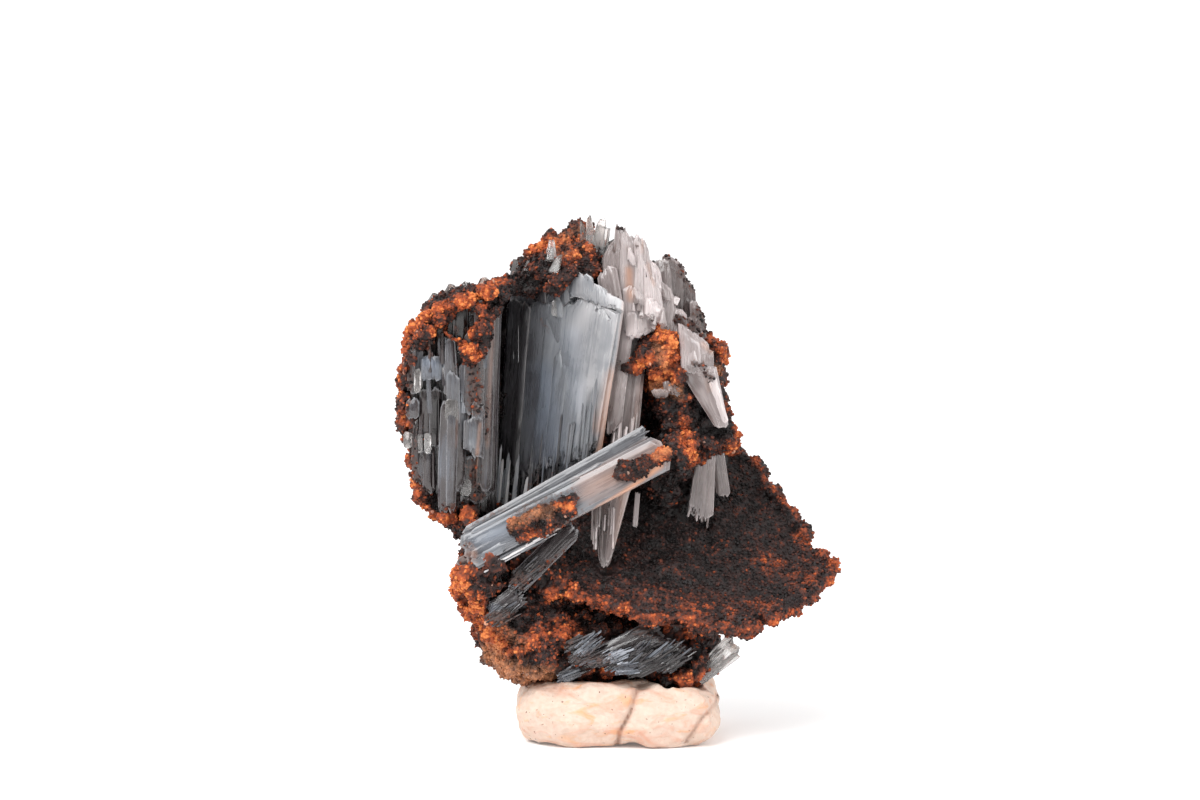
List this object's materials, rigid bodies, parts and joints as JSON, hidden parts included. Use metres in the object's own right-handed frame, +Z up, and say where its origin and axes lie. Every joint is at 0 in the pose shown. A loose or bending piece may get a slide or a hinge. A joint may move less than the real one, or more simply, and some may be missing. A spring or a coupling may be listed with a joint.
{
  "type": "barite mineral specimen",
  "caption": "Bladed grey-blue barite crystals in a dark iron-oxide crust with orange rims, a slanting ledge at the right, stood on a blob of putty.",
  "frame": {"origin": "middle of the tack's flat sole, at the height of the surface that it rests on", "axes": "+Z up; -Y is the display face with the broad blade; +X towards the tip of the slanting ledge"},
  "size_m": [0.0437, 0.0244, 0.0523],
  "materials": {
    "iron_crust": "matte",
    "barite": "satin",
    "pale_barite": "satin",
    "clear_barite": "gloss",
    "tack": "matte"
  },
  "bodies": {
    "root": {"mineral_tack": "tack", "crusted_matrix": "iron_crust", "left_stack": "barite", "broad_blade": "barite", "tall_blade": "pale_barite", "cross_blade": "barite", "under_blade": "barite", "right_blade": "pale_barite", "fan_blade": "pale_barite", "foot_blade": "clear_barite", "base_blade": "barite", "rear_blade": "pale_barite", "back_blades": "barite", "crown_crystals": "clear_barite"}
  },
  "joints": []
}
